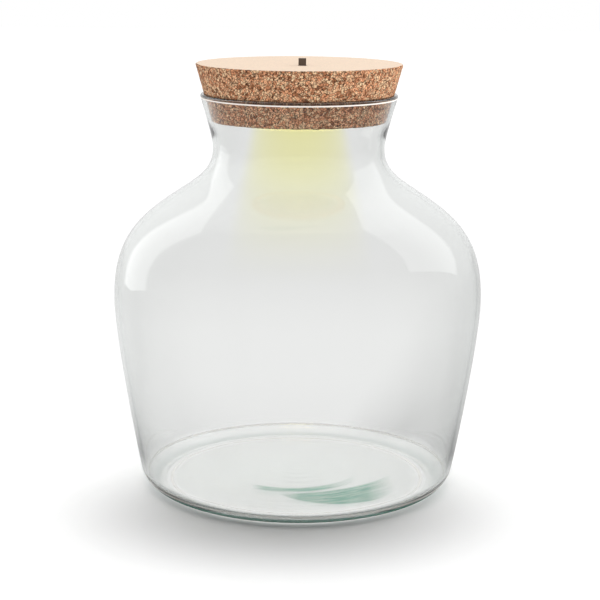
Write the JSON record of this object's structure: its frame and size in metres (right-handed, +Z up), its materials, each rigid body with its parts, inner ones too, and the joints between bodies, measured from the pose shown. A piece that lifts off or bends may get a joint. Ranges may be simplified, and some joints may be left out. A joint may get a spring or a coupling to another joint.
{
  "type": "glass terrarium jar with cork lamp stopper",
  "caption": "Wide-shouldered clear glass jar with a flared mouth and a tapered cork stopper that holds a battery lamp with a slide switch.",
  "frame": {"origin": "centre of the ring that the jar stands on, in the plane of the surface", "axes": "+Z up along the jar's axis; the lamp's switch is on the -Y side of the cork's top"},
  "size_m": [0.26, 0.26, 0.3049],
  "materials": {
    "clear_glass": "clear blown soda-lime glass, faint green in the thick base",
    "agglomerated_cork": "pressed cork granules, sanded",
    "white_plastic": "satin moulded",
    "frosted_plastic": "frosted translucent, lit from behind",
    "circuit_board": "white solder mask",
    "led_package": "yellow phosphor in a white case",
    "black_plastic": "fine satin moulded",
    "cell_jacket": "plain shrink jacket with steel ends",
    "nickel_strip": "nickel-plated spring strip",
    "red_insulation": "PVC insulation",
    "black_insulation": "PVC insulation"
  },
  "bodies": {
    "jar": {"glass_jar": "clear_glass", "cork_stopper": "agglomerated_cork", "lamp_housing": "white_plastic", "lamp_cap": "white_plastic", "lamp_diffuser": "frosted_plastic", "led_board": "circuit_board", "led_1": "led_package", "led_2": "led_package", "led_3": "led_package", "led_4": "led_package", "led_5": "led_package", "led_6": "led_package", "led_resistor": "black_plastic", "battery_tray": "black_plastic", "battery_1": "cell_jacket", "battery_2": "cell_jacket", "battery_3": "cell_jacket", "contact_supply": "nickel_strip", "contact_bridge_1": "nickel_strip", "contact_bridge_2": "nickel_strip", "contact_return": "nickel_strip", "switch_body": "black_plastic", "wire_supply": "red_insulation", "wire_switched": "black_insulation"},
    "switch": {"switch_lever": "black_plastic"}
  },
  "joints": [
    {"name": "lamp_switch_slide", "type": "slide", "parent": "jar", "child": "switch", "axis": [0, 1, 0], "range_m": [0, 0.003]}
  ]
}
